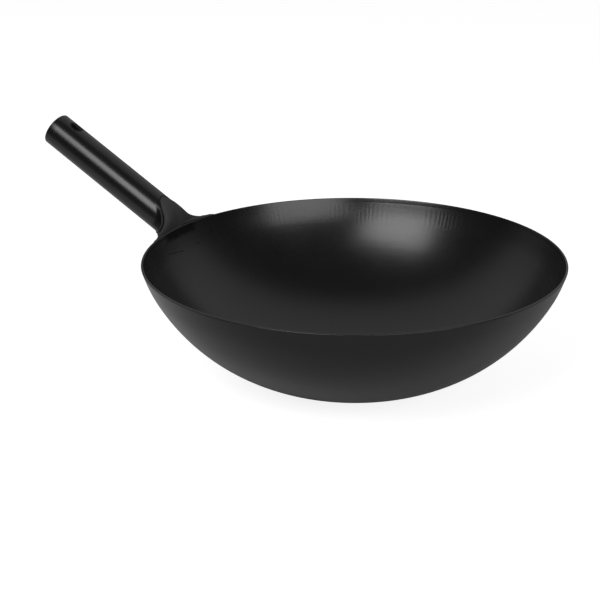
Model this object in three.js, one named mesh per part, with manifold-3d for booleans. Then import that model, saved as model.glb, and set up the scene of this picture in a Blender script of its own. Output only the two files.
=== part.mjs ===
// Pressed steel wok with a welded tube handle.
// Millimetres, +Z up. The origin is the centre of the flat base; the handle points along -X.

import * as THREE from 'three';
import { mergeVertices } from 'three/addons/utils/BufferGeometryUtils.js';
import Module from 'manifold-3d';

const wasm = await Module();
wasm.setup();

// Bowl
const RIM_DIAMETER = 355;
const BOWL_DEPTH = 105.5;
const BASE_DIAMETER = 50;
const BOWL_SHEET = 2;

// Handle tube; distances along it start where its axis crosses the rim's outer radius
const HANDLE_RISE_DEGREES = 28.4;
const AXIS_BELOW_RIM = 2.8;
const TUBE_DIAMETER = 30;
const TUBE_WALL = 1.5;
const TUBE_END = 153.5;
const TUBE_NOSE = 11;
const NOSE_TOP_SETBACK = 19;
const NOSE_BOTTOM_SETBACK = 5;

// Hanging hole, an oval slot along the tube through both of its walls
const HOLE_WIDTH = 9.5;
const HOLE_LENGTH = 13;
const HOLE_FROM_END = 18.5;

// End cap, a pressed cup set in the tube's free end
const CAP_SHEET = 1.5;
const CAP_SKIRT = 8;
const CAP_CROWN = 1.2;
const CAP_CORNER = 2;

// Bracket, a pressed trumpet whose neck enters the tube and whose foot lies along the rim
const BRACKET_SHEET = 2;
const BRACKET_BELOW_TUBE_SKIN = 0.4;
const NECK_IN_TUBE = 28;
const FOOT_HALF_WIDTH = 46;
const FOOT_DROP = 30;
const FOOT_TIP_HEIGHT = 5;
const FOOT_EDGE = 1;
const FOOT_SINK = 6;
const FOOT_TOP_POWER = 2;
const FOOT_BELLY_POWER = 1.5;
const FLARE_AT_SIDE = 0.3;
const FLARE_AT_TOP = 0.3;
const HOLLOW_MARGIN = 3;
const HOLLOW_FLARE_AT_TOP = 0.1;
const SOLID_TIP = 18;

// Weld beads
const BEAD_THIN_END = 0.35;
const RIM_BEAD_RADIUS = 1.9;
const RIM_BEAD_START = 22;
const RIM_BEAD_PAST_TIP = 2;
const FOOT_BEAD_RADIUS = 2.6;
const FOOT_BEAD_SPREAD_DEGREES = 120;
const TUBE_BEAD_RADIUS = 2.2;
const TUBE_BEAD_SPREAD_DEGREES = 80;

// Clearances
const SEAT_GAP = 0.3;
const SEAM_GAP = 0.5;

// Facets
const BOWL_SIDES = 72;
const WALL_STEPS = 14;
const EDGE_STEPS = 4;
const TUBE_SIDES = 48;
const LOFT_SIDES = 48;
const LOFT_STEPS = 8;
const BEAD_SIDES = 8;
const BEAD_STEPS = 16;
const HOLE_SIDES = 32;

// Sizes that follow from the ones above
const rimRadius = RIM_DIAMETER / 2;
const baseRadius = BASE_DIAMETER / 2;
const tubeRadius = TUBE_DIAMETER / 2;
const boreRadius = tubeRadius - TUBE_WALL;
const neckRadius = boreRadius - SEAT_GAP;
const trumpetRadius = tubeRadius - BRACKET_BELOW_TUBE_SKIN;
const cutterSpare = TUBE_WALL;
const neckEnd = TUBE_NOSE + NOSE_TOP_SETBACK + NECK_IN_TUBE;
const rise = THREE.MathUtils.degToRad(HANDLE_RISE_DEGREES);
const axisHeight = BOWL_DEPTH - AXIS_BELOW_RIM;

// The wall's middle surface is an arc that leaves the base level and ends in the rim's rounded edge
const halfSheet = BOWL_SHEET / 2;
const edgeX = rimRadius - halfSheet - baseRadius;
const edgeZ = BOWL_DEPTH - halfSheet;
const wallRadius = (edgeX ** 2 + edgeZ ** 2 - halfSheet ** 2) / (2 * (edgeZ - halfSheet));
const wallEnd = Math.atan2(edgeX, wallRadius - edgeZ);

// Points along an arc about a centre; angles are measured from straight down towards +X
function arcPoints(centreX, centreY, radius, from, to, steps) {
  return Array.from({ length: steps + 1 }, (_, i) => {
    const angle = from + ((to - from) * i) / steps;
    return new THREE.Vector2(centreX + radius * Math.sin(angle), centreY - radius * Math.cos(angle));
  });
}

// A solid of revolution about Z from a profile of radius and height
function revolve(profile, sides) {
  return new THREE.LatheGeometry(profile, sides).rotateX(Math.PI / 2);
}

// A closed geometry as a solid for joins and cuts
function solidOf(geometry) {
  const bare = geometry.clone();
  bare.deleteAttribute('normal');
  bare.deleteAttribute('uv');
  const merged = mergeVertices(bare, 1e-4);
  const corners = merged.index.array;
  const kept = [];
  for (let i = 0; i < corners.length; i += 3) {
    const [a, b, c] = [corners[i], corners[i + 1], corners[i + 2]];
    if (a !== b && b !== c && c !== a) {
      kept.push(a, b, c);
    }
  }
  const vertProperties = new Float32Array(merged.attributes.position.array);
  const triVerts = new Uint32Array(kept);
  return new wasm.Manifold(new wasm.Mesh({ numProp: 3, vertProperties, triVerts }));
}

// A copy of a geometry with its skin moved outwards
function swollen(geometry, gap) {
  const copy = geometry.clone();
  copy.computeVertexNormals();
  const places = copy.attributes.position;
  const normals = copy.attributes.normal;
  for (let i = 0; i < places.count; i += 1) {
    const place = new THREE.Vector3().fromBufferAttribute(places, i);
    place.addScaledVector(new THREE.Vector3().fromBufferAttribute(normals, i), gap);
    places.setXYZ(i, place.x, place.y, place.z);
  }
  return copy;
}

// A solid's surface as a geometry; where a cut leaves crumbs, the largest body is the piece
function geometryOf(solid) {
  const bodies = solid.decompose();
  const body = bodies.reduce((a, b) => (a.volume() > b.volume() ? a : b));
  const mesh = body.getMesh();
  const geometry = new THREE.BufferGeometry();
  geometry.setAttribute('position', new THREE.BufferAttribute(mesh.vertProperties, 3));
  geometry.setIndex(new THREE.BufferAttribute(mesh.triVerts, 1));
  geometry.computeVertexNormals();
  return geometry;
}

// A closed skin over rings of points, each ring the same number of points, with both ends capped
function loft(rings) {
  const sides = rings[0].length;
  const points = rings.flat();
  const corners = [];
  for (let ring = 0; ring + 1 < rings.length; ring += 1) {
    for (let i = 0; i < sides; i += 1) {
      const next = (i + 1) % sides;
      const [a, b] = [ring * sides + i, ring * sides + next];
      corners.push(a, b, b + sides, a, b + sides, a + sides);
    }
  }
  const centreOf = (ring) => ring.reduce((sum, p) => sum.add(p), new THREE.Vector3()).divideScalar(sides);
  const first = points.push(centreOf(rings[0])) - 1;
  const last = points.push(centreOf(rings.at(-1))) - 1;
  const lastRing = (rings.length - 1) * sides;
  for (let i = 0; i < sides; i += 1) {
    const next = (i + 1) % sides;
    corners.push(first, next, i);
    corners.push(last, lastRing + i, lastRing + next);
  }
  const geometry = new THREE.BufferGeometry().setFromPoints(points);
  geometry.setIndex(corners);
  return geometry;
}

// A bead of weld metal along a curve, thin at both ends
function bead(curve, radius) {
  const look = 1 / BEAD_STEPS;
  const rings = Array.from({ length: BEAD_STEPS + 1 }, (_, step) => {
    const t = step / BEAD_STEPS;
    const centre = curve(t);
    const ahead = curve(t + look).sub(curve(t - look)).normalize();
    const across = new THREE.Vector3(0, 0, 1).cross(ahead).normalize();
    const above = ahead.clone().cross(across);
    const size = radius * (BEAD_THIN_END + (1 - BEAD_THIN_END) * Math.sqrt(Math.abs(Math.sin(Math.PI * t))));
    return Array.from({ length: BEAD_SIDES }, (_side, i) => {
      const angle = (2 * Math.PI * i) / BEAD_SIDES;
      return centre.clone()
        .addScaledVector(across, size * Math.cos(angle))
        .addScaledVector(above, size * Math.sin(angle));
    });
  });
  return loft(rings);
}

// Place of a point given along the handle, across it and square above its axis
function onHandle(along, across, above) {
  return new THREE.Vector3(
    -rimRadius - along * Math.cos(rise) + above * Math.sin(rise),
    across,
    axisHeight + along * Math.sin(rise) + above * Math.cos(rise),
  );
}

// Turns a geometry made about Z, with Z along the handle's length, into the handle's own frame
function alongHandle(geometry) {
  return geometry.rotateY(-Math.PI / 2);
}

// Angles round the handle, from its far side over the top
const angles = Array.from({ length: LOFT_SIDES }, (_, i) => (2 * Math.PI * i) / LOFT_SIDES);

// How far along the handle the tube's root edge lies: set back over the top and, less, underneath
function noseAt(angle) {
  const lift = Math.sin(angle);
  return TUBE_NOSE + (lift > 0 ? NOSE_TOP_SETBACK : NOSE_BOTTOM_SETBACK) * lift ** 2;
}

// Everything on the bowl's side of the tube's root edge, in the handle's own frame, cut square to the tube's skin
function rootCutter(shift) {
  const edge = (radius) => angles.map((angle) => new THREE.Vector3(
    shift - noseAt(angle),
    radius * Math.cos(angle),
    radius * Math.sin(angle),
  ));
  const outer = tubeRadius + cutterSpare;
  const behind = edge(outer).map((p) => p.setX(outer));
  return solidOf(loft([edge(boreRadius - cutterSpare), edge(outer), behind]));
}

// Carries a solid from the handle's own frame to the wok's
const handlePlace = new THREE.Matrix4()
  .makeRotationY(rise)
  .setPosition(-rimRadius, 0, axisHeight);

// Outer radius of the bowl's wall at a height
function wallRadiusAt(height) {
  const arc = wallRadius ** 2 - (wallRadius - height) ** 2;
  return Math.min(baseRadius + Math.sqrt(Math.max(arc, 0)), rimRadius);
}

// Place of a point outside the bowl's wall, at an arc length round the rim from the handle
function onWall(arcLength, height, outside) {
  const turn = arcLength / rimRadius;
  const radius = wallRadiusAt(height) + outside;
  return new THREE.Vector3(-radius * Math.cos(turn), radius * Math.sin(turn), height);
}

// Outline of the bracket's foot on the wall: level along the rim, bellied below, with blunt tips
function footPoint(angle) {
  const lift = Math.sin(angle);
  const sweep = Math.cos(angle);
  const halfTip = FOOT_TIP_HEIGHT / 2;
  if (lift > 0) {
    const arcLength = FOOT_HALF_WIDTH * Math.sign(sweep) * Math.abs(sweep) ** FOOT_TOP_POWER;
    return onWall(arcLength, BOWL_DEPTH - halfTip * (1 - Math.sqrt(lift)), FOOT_EDGE);
  }
  const fall = halfTip + (FOOT_DROP - halfTip) * Math.abs(lift) ** FOOT_BELLY_POWER;
  return onWall(FOOT_HALF_WIDTH * sweep, BOWL_DEPTH - fall, FOOT_EDGE);
}

// Outline of the hollow inside the foot
function hollowPoint(angle) {
  const middle = FOOT_DROP / 2;
  const reach = FOOT_DROP / 2 - HOLLOW_MARGIN;
  const arcLength = (FOOT_HALF_WIDTH - SOLID_TIP) * Math.cos(angle);
  return onWall(arcLength, BOWL_DEPTH - middle + reach * Math.sin(angle), FOOT_EDGE);
}

// Trumpet from a round neck on the handle's axis, leaving it in line and flaring to an outline on the wall
function trumpet(radius, footAt, flareAtTop) {
  const neckPoint = (angle, along) => onHandle(along, radius * Math.cos(angle), radius * Math.sin(angle));
  const flares = angles.map((angle) => {
    const nose = noseAt(angle);
    const lift = Math.sqrt(Math.max(Math.sin(angle), 0));
    const straight = THREE.MathUtils.lerp(FLARE_AT_SIDE, flareAtTop, lift);
    return new THREE.QuadraticBezierCurve3(
      neckPoint(angle, nose),
      neckPoint(angle, nose * (1 - straight)),
      footAt(angle),
    );
  });
  const sections = Array.from({ length: LOFT_STEPS + 1 }, (_, step) => (
    flares.map((flare) => flare.getPoint(step / LOFT_STEPS))
  ));
  const sunk = angles.map((angle) => {
    const foot = footAt(angle);
    const shrink = 1 - FOOT_SINK / Math.hypot(foot.x, foot.y);
    return new THREE.Vector3(foot.x * shrink, foot.y * shrink, foot.z);
  });
  return loft([angles.map((angle) => neckPoint(angle, neckEnd)), ...sections, sunk]);
}

// Bowl: one pressed sheet, level base, arched wall and a rounded rim edge
function bowlGeometry() {
  const outer = arcPoints(baseRadius, wallRadius, wallRadius, 0, wallEnd, WALL_STEPS);
  const inner = arcPoints(baseRadius, wallRadius, wallRadius - BOWL_SHEET, wallEnd, 0, WALL_STEPS);
  const edgeArc = (from, to) => arcPoints(baseRadius + edgeX, edgeZ, halfSheet, from, to, EDGE_STEPS / 2);
  const profile = [
    new THREE.Vector2(0, 0),
    ...outer,
    ...edgeArc(Math.PI / 2, Math.PI),
    ...edgeArc(Math.PI, wallEnd + Math.PI).slice(1, -1),
    ...inner,
    new THREE.Vector2(0, BOWL_SHEET),
  ];
  return revolve(profile, BOWL_SIDES);
}

// The space that the bowl takes up, with all above its mouth, grown by the seat gap
function bowlSpace() {
  const wall = arcPoints(baseRadius, wallRadius, wallRadius + SEAT_GAP, 0, wallEnd, WALL_STEPS);
  const ceiling = 2 * BOWL_DEPTH;
  const profile = [
    new THREE.Vector2(0, -SEAT_GAP),
    ...wall,
    new THREE.Vector2(rimRadius + SEAT_GAP, edgeZ),
    new THREE.Vector2(rimRadius + SEAT_GAP, ceiling),
    new THREE.Vector2(0, ceiling),
  ];
  return solidOf(revolve(profile, BOWL_SIDES));
}

// Tube: coped at its root, rounded at its free end, drilled for hanging
function tubeGeometry() {
  const rounding = TUBE_WALL;
  const profile = [
    new THREE.Vector2(boreRadius, 0),
    new THREE.Vector2(tubeRadius, 0),
    ...arcPoints(boreRadius, TUBE_END - rounding, rounding, Math.PI / 2, Math.PI, EDGE_STEPS),
    new THREE.Vector2(boreRadius, 0),
  ];
  const pipe = solidOf(alongHandle(revolve(profile, TUBE_SIDES)));
  const slotEnd = (shift) => solidOf(new THREE.CylinderGeometry(HOLE_WIDTH / 2, HOLE_WIDTH / 2, 2 * TUBE_DIAMETER, HOLE_SIDES)
    .rotateX(Math.PI / 2)
    .translate(HOLE_FROM_END - TUBE_END + shift, 0, 0));
  const reach = (HOLE_LENGTH - HOLE_WIDTH) / 2;
  const slot = slotEnd(-reach).add(slotEnd(reach)).hull();
  return geometryOf(pipe.subtract(rootCutter(0)).subtract(slot));
}

// End cap: a pressed cup with a slightly crowned face
function capGeometry() {
  const outer = boreRadius - SEAT_GAP;
  const inner = outer - CAP_SHEET;
  const face = TUBE_END;
  const crown = (radius) => face - CAP_CROWN * (radius / outer) ** 2;
  const shoulder = crown(outer) - CAP_CORNER;
  const mouth = face - CAP_SKIRT;
  const steps = EDGE_STEPS;
  const across = (reach, drop) => Array.from({ length: steps + 1 }, (_, i) => {
    const radius = (reach * i) / steps;
    return new THREE.Vector2(radius, crown(radius) - drop);
  });
  const profile = [
    ...across(inner - CAP_CORNER, CAP_SHEET),
    new THREE.Vector2(inner, shoulder - CAP_SHEET),
    new THREE.Vector2(inner, mouth),
    new THREE.Vector2(outer, mouth),
    new THREE.Vector2(outer, shoulder),
    ...across(outer - CAP_CORNER, 0).reverse(),
  ];
  return alongHandle(revolve(profile, TUBE_SIDES));
}

const wallCut = bowlSpace();
const trumpetSkin = trumpet(trumpetRadius, footPoint, FLARE_AT_TOP);
const trumpetSpace = solidOf(swollen(trumpetSkin, SEAT_GAP));

// The tube's wall as the bracket meets it, with room for the seam
function tubeSpace() {
  const profile = [
    new THREE.Vector2(neckRadius, 0),
    new THREE.Vector2(tubeRadius, 0),
    new THREE.Vector2(tubeRadius, TUBE_END),
    new THREE.Vector2(neckRadius, TUBE_END),
    new THREE.Vector2(neckRadius, 0),
  ];
  const ring = solidOf(alongHandle(revolve(profile, TUBE_SIDES)));
  return ring.subtract(rootCutter(SEAM_GAP)).transform(handlePlace.elements);
}

const tubeCut = tubeSpace();

// Bracket: a hollow trumpet, open into the tube and against the wall
function bracketGeometry() {
  const hollow = solidOf(trumpet(neckRadius - BRACKET_SHEET, hollowPoint, HOLLOW_FLARE_AT_TOP));
  return geometryOf(solidOf(trumpetSkin).subtract(hollow).subtract(tubeCut).subtract(wallCut));
}

// Weld bead along the rim at one tip of the bracket's foot; side is 1 or -1
function rimBeadGeometry(side) {
  const start = RIM_BEAD_START;
  const end = FOOT_HALF_WIDTH + RIM_BEAD_PAST_TIP;
  const curve = (t) => onWall(side * (start + (end - start) * t), BOWL_DEPTH - RIM_BEAD_RADIUS / 2, FOOT_EDGE);
  return geometryOf(solidOf(bead(curve, RIM_BEAD_RADIUS)).subtract(trumpetSpace).subtract(wallCut));
}

// Weld bead under the bracket, along the lower edge of its foot
function footBeadGeometry() {
  const spread = THREE.MathUtils.degToRad(FOOT_BEAD_SPREAD_DEGREES);
  const curve = (t) => footPoint(-Math.PI / 2 + spread * (t - 0.5));
  return geometryOf(solidOf(bead(curve, FOOT_BEAD_RADIUS)).subtract(trumpetSpace).subtract(wallCut));
}

// Weld bead under the tube, in the corner between its root edge and the bracket
function tubeBeadGeometry() {
  const spread = THREE.MathUtils.degToRad(TUBE_BEAD_SPREAD_DEGREES);
  const curve = (t) => {
    const angle = -Math.PI / 2 + spread * (t - 0.5);
    return onHandle(noseAt(angle) - SEAM_GAP, tubeRadius * Math.cos(angle), tubeRadius * Math.sin(angle));
  };
  return geometryOf(solidOf(bead(curve, TUBE_BEAD_RADIUS)).subtract(trumpetSpace).subtract(tubeCut));
}

// Finishes: satin black over steel, with the welds a little duller
const blackSteel = { color: 0x1d1d1d, roughness: 0.42, metalness: 0.35 };
const tubeBlack = { color: 0x1a1a1a, roughness: 0.36, metalness: 0.35 };
const weldBlack = { color: 0x202020, roughness: 0.55, metalness: 0.35 };

function piece(name, geometry, finish) {
  const mesh = new THREE.Mesh(geometry, new THREE.MeshStandardMaterial(finish));
  mesh.name = name;
  return mesh;
}

const handle = new THREE.Group();
handle.position.set(-rimRadius, 0, axisHeight);
handle.rotation.y = rise;
handle.add(piece('handle_tube', tubeGeometry(), tubeBlack));
handle.add(piece('handle_end_cap', capGeometry(), tubeBlack));

const wok = new THREE.Group();
wok.add(piece('bowl', bowlGeometry(), blackSteel));
wok.add(piece('handle_bracket', bracketGeometry(), blackSteel));
wok.add(handle);
wok.add(piece('rim_weld_left', rimBeadGeometry(-1), weldBlack));
wok.add(piece('rim_weld_right', rimBeadGeometry(1), weldBlack));
wok.add(piece('bracket_weld', footBeadGeometry(), weldBlack));
wok.add(piece('tube_weld', tubeBeadGeometry(), weldBlack));

export default wok;
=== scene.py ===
"""Looks of a black steel wok with a welded tube handle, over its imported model."""

import logging
from dataclasses import dataclass, replace
from enum import Enum
from functools import partial
from math import atan2, cos, exp, hypot, pi, radians, sin, sqrt
from typing import Any, Callable, ClassVar, Sequence

import bmesh
import bpy
from mathutils import Matrix, Vector


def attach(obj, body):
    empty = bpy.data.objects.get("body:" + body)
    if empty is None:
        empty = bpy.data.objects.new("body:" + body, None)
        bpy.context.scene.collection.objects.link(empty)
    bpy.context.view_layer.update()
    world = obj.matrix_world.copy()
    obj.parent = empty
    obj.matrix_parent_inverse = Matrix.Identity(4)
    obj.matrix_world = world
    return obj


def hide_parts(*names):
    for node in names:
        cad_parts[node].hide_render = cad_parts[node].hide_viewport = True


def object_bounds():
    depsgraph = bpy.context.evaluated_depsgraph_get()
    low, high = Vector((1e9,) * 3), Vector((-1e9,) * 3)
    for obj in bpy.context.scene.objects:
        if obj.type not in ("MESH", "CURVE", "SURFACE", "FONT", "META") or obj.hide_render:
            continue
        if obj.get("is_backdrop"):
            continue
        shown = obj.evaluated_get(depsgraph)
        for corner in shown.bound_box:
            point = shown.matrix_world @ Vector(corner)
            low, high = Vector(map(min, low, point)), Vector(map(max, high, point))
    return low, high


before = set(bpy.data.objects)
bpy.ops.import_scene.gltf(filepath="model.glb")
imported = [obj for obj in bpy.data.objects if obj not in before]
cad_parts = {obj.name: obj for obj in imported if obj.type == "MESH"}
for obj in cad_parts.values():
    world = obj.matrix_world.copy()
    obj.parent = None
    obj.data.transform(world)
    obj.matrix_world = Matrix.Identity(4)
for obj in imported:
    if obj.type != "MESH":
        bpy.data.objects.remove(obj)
CAD_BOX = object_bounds()

LOG = logging.getLogger("wok")
MM = 0.001
TINY = 1e-6
NEAR = 0.02 * MM
BODY = "root"

Point = tuple[float, float]
Span = tuple[float, float]
Rgba = tuple[float, float, float, float]
Socket = bpy.types.NodeSocket


class Pick(Enum):
    """What a selection on the bench is made of."""

    POINTS = "verts"
    EDGES = "edges"
    FACES = "faces"


class Slot(Enum):
    """Material slots of the record."""

    BOWL = "bowl_steel"
    BRACKET = "bracket_steel"
    TUBE = "tube_steel"
    WELD = "weld_metal"


class Bench:
    """Edit-mode tools for the piece that is being made."""

    @staticmethod
    def settle() -> None:
        """Applies the place and turn of a new shape to its points."""
        bpy.ops.object.transform_apply(location=True, rotation=True, scale=True)

    @staticmethod
    def edit(kind: Pick) -> None:
        """Enters edit mode with one kind of selection."""
        bpy.ops.object.mode_set(mode="EDIT")
        Bench.pick_mode(kind)

    @staticmethod
    def pick_mode(kind: Pick) -> None:
        """Sets what a selection is made of."""
        bpy.context.tool_settings.mesh_select_mode = tuple(kind is option for option in Pick)

    @staticmethod
    def done(name: str, smooth_degrees: float) -> bpy.types.Object:
        """Leaves edit mode, sets the normals outwards and smooths the piece.

        Args:
            name: The piece's name.
            smooth_degrees: Edges under this angle are shaded smooth.

        Returns:
            The finished object.
        """
        piece = bpy.context.object
        bpy.ops.object.mode_set(mode="EDIT")
        bpy.ops.mesh.select_all(action="SELECT")
        bpy.ops.mesh.normals_make_consistent(inside=False)
        bpy.ops.object.mode_set(mode="OBJECT")
        bpy.ops.object.shade_smooth_by_angle(angle=radians(smooth_degrees))
        piece.name = piece.data.name = name
        return piece

    @staticmethod
    def select(kind: Pick, test: Callable[[Vector], bool]) -> None:
        """Selects what has all its points inside a test.

        Args:
            kind: Points, edges or faces.
            test: Says of a place whether it counts.
        """
        Bench.pick_mode(kind)
        bpy.ops.mesh.select_all(action="DESELECT")
        data = bpy.context.object.data
        mesh = bmesh.from_edit_mesh(data)
        passed = {point for point in mesh.verts if test(point.co)}
        for item in getattr(mesh, kind.value):
            points = [item] if kind is Pick.POINTS else item.verts
            if all(point in passed for point in points):
                item.select_set(True)
        bmesh.update_edit_mesh(data)

    @staticmethod
    def move_selected(rule: Callable[[Vector], Vector]) -> None:
        """Moves each selected point to where a rule puts it."""
        data = bpy.context.object.data
        for point in bmesh.from_edit_mesh(data).verts:
            if point.select:
                point.co = rule(point.co)
        bmesh.update_edit_mesh(data)

    @staticmethod
    def modify(kind: str, **settings: Any) -> None:
        """Adds a modifier to the piece and applies it.

        Args:
            kind: The modifier's type.
            **settings: Its settings by name.
        """
        modifier = bpy.context.object.modifiers.new(kind.title(), kind)
        for key, value in settings.items():
            setattr(modifier, key, value)
        bpy.ops.object.modifier_apply(modifier=modifier.name)


class Loft:
    """A skin drawn out ring by ring from a circle, every ring with the same number of points."""

    def __init__(self, first: Sequence[Vector]) -> None:
        """Adds the first ring as a circle and sets its points in place."""
        bpy.ops.mesh.primitive_circle_add(vertices=len(first), fill_type="NOTHING")
        Bench.edit(Pick.EDGES)
        data = bpy.context.object.data
        for point, place in zip(bmesh.from_edit_mesh(data).verts, first):
            point.co = place
        bmesh.update_edit_mesh(data)
        bpy.ops.mesh.select_all(action="SELECT")
        self.ring = first

    def draw(self, ring: Sequence[Vector]) -> None:
        """Extrudes the open edge and sets its points on the next ring."""
        after = {tuple(near): far for near, far in zip(self.ring, ring)}
        bpy.ops.mesh.extrude_edges_move()
        Bench.move_selected(lambda place: after[tuple(place)])
        self.ring = ring

    def close(self) -> None:
        """Fills the open edge with a face."""
        bpy.ops.mesh.edge_face_add()


def operation(name: str, swapped: bool = False) -> Callable[..., "Wire"]:
    """Makes a method of Wire that adds a Math node.

    Args:
        name: The node's operation.
        swapped: Puts the other value first.

    Returns:
        The method.
    """

    def method(self: "Wire", *others: "Wire | float") -> "Wire":
        """The result of the operation."""
        return self.board.math(name, *((*others, self) if swapped else (self, *others)))

    return method


class Wire:
    """A value socket that maths is written with; each operation adds its Math node."""

    def __init__(self, board: "Board", socket: Socket) -> None:
        """Wraps one output socket of a board."""
        self.board = board
        self.socket = socket

    __add__ = __radd__ = operation("ADD")
    __mul__ = __rmul__ = operation("MULTIPLY")
    __sub__ = operation("SUBTRACT")
    __rsub__ = operation("SUBTRACT", swapped=True)
    __truediv__ = operation("DIVIDE")
    __rtruediv__ = operation("DIVIDE", swapped=True)
    __pow__ = operation("POWER")
    __abs__ = operation("ABSOLUTE")


class Board:
    """The node tree of one material or of the world, with its coordinates."""

    def __init__(self, tree: bpy.types.NodeTree, coordinates: str = "Object") -> None:
        """Empties the tree and sets up its coordinates and the distance from the wok's middle line."""
        self.tree = tree
        tree.nodes.clear()
        self.place = self.node("ShaderNodeTexCoord").outputs[coordinates]
        parts = self.node("ShaderNodeSeparateXYZ", {"Vector": self.place}).outputs
        self.x, self.y, self.z = (Wire(self, part) for part in parts)
        self.out = (self.x * self.x + self.y * self.y) ** 0.5

    def node(self, kind: str, sockets: dict[Any, Any] | None = None, **settings: Any) -> bpy.types.Node:
        """Adds a node.

        Args:
            kind: The node's type.
            sockets: Values or links of its inputs, by name or number.
            **settings: Its settings by name, which are set first.

        Returns:
            The node.
        """
        made = self.tree.nodes.new(kind)
        for key, value in settings.items():
            setattr(made, key, value)
        for key, value in (sockets or {}).items():
            self.feed(made.inputs[key], value)
        return made

    def feed(self, socket: Socket, value: Any) -> None:
        """Links a wire or a socket to an input, or sets the input's value."""
        if isinstance(value, Wire):
            value = value.socket
        if isinstance(value, Socket):
            self.tree.links.new(value, socket)
        else:
            socket.default_value = value

    def shader(self, kind: str, sockets: dict[Any, Any]) -> Socket:
        """Adds a shader's node and gives its output."""
        return self.node(kind, sockets).outputs[0]

    def math(self, name: str, *values: "Wire | float") -> Wire:
        """Adds a Math node and gives its result."""
        return Wire(self, self.node("ShaderNodeMath", dict(enumerate(values)), operation=name).outputs[0])

    def ray(self, kind: str) -> Wire:
        """1 for one kind of ray and 0 for the others."""
        return Wire(self, self.node("ShaderNodeLightPath").outputs[kind])

    def seen(self) -> Wire:
        """1 for what the camera sees, straight or through something clear, and 0 for other rays."""
        return self.ray("Is Camera Ray") + self.ray("Is Transmission Ray")

    def join(self, x: Any, y: Any, z: Any) -> Socket:
        """A vector of three parts."""
        return self.node("ShaderNodeCombineXYZ", {"X": x, "Y": y, "Z": z}).outputs["Vector"]

    def ease(self, value: Wire, start: float, end: float) -> Wire:
        """A smooth step from 0 at one value to 1 at another."""
        sockets = {"Value": value, "From Min": start, "From Max": end}
        made = self.node("ShaderNodeMapRange", sockets, interpolation_type="SMOOTHSTEP")
        return Wire(self, made.outputs["Result"])

    def fade(self, value: Wire, start: float, end: float) -> Wire:
        """A smooth step from 1 at one value to 0 at another."""
        return 1.0 - self.ease(value, start, end)

    def noise(self, scale: float, detail: float = 2.0, rough: float = 0.5, at: Socket | None = None) -> Wire:
        """Noise about 0.5.

        Args:
            scale: Features per metre.
            detail: Finer layers on it.
            rough: How strong the finer layers are.
            at: Coordinates, where they aren't the board's own.

        Returns:
            The noise.
        """
        vector = self.place if at is None else at
        sockets = {"Vector": vector, "Scale": scale, "Detail": detail, "Roughness": rough}
        return Wire(self, self.node("ShaderNodeTexNoise", sockets).outputs[0])

    def blend(self, factor: Wire, first: Any, second: Any) -> Socket:
        """A colour between two, by a factor."""
        return self.node("ShaderNodeMix", {0: factor, 6: first, 7: second}, data_type="RGBA").outputs[2]

    def bump(self, height: Wire, distance: float, below: Socket | None = None) -> Socket:
        """A bumped normal.

        Args:
            height: The height, from 0 to 1.
            distance: What a height of 1 stands for, in metres.
            below: A bumped normal that this one lies on.

        Returns:
            The normal.
        """
        sockets: dict[str, Any] = {"Height": height, "Distance": distance, "Strength": 1.0}
        if below is not None:
            sockets["Normal"] = below
        return self.node("ShaderNodeBump", sockets).outputs["Normal"]


Skin = tuple[Wire, float]


def grey(tone: float) -> Rgba:
    """A grey as a colour."""
    return tone, tone, tone, 1.0


WHITE = grey(1.0)


@dataclass(frozen=True)
class WallLine:
    """The bowl's wall: an arc that leaves the flat base level and ends in a rounded rim edge."""

    rim_radius: float = 177.5 * MM
    depth: float = 105.5 * MM
    base_radius: float = 25.0 * MM
    sheet: float = 2.0 * MM

    @property
    def edge(self) -> Point:
        """Radius and height of the centre of the rim's rounded edge."""
        return self.rim_radius - self.sheet / 2, self.depth - self.sheet / 2

    @property
    def arc_radius(self) -> float:
        """Radius of the wall's outer arc, whose centre stands over the base's edge."""
        across, up = self.edge[0] - self.base_radius, self.edge[1]
        half = self.sheet / 2
        return (across**2 + up**2 - half**2) / (2 * (up - half))

    @property
    def arc_end(self) -> float:
        """Angle from straight down at which the arc meets the rim's edge."""
        return atan2(self.edge[0] - self.base_radius, self.arc_radius - self.edge[1])

    def outer(self, height: float) -> float:
        """Outer radius of the wall at a height, over the rim's rounded edge too."""
        arc = self.arc_radius**2 - (self.arc_radius - height) ** 2
        wall = min(self.base_radius + sqrt(max(arc, 0.0)), self.rim_radius)
        above = height - self.edge[1]
        if above > 0:
            half = self.sheet / 2
            wall = min(wall, self.edge[0] + sqrt(max(half**2 - above**2, 0.0)))
        return wall

    def place(self, arc_length: float, height: float, outside: float) -> Vector:
        """A point beside the wall.

        Args:
            arc_length: Length round the rim from the handle's side.
            height: Height over the base.
            outside: Distance out from the wall.

        Returns:
            The point.
        """
        return self.round(arc_length, self.outer(min(height, self.edge[1])) + outside, height)

    def round(self, arc_length: float, radius: float, height: float) -> Vector:
        """A point at a length round the rim, a distance from the bowl's axis and a height."""
        turn = arc_length / self.rim_radius
        return Vector((-radius * cos(turn), radius * sin(turn), height))


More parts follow.
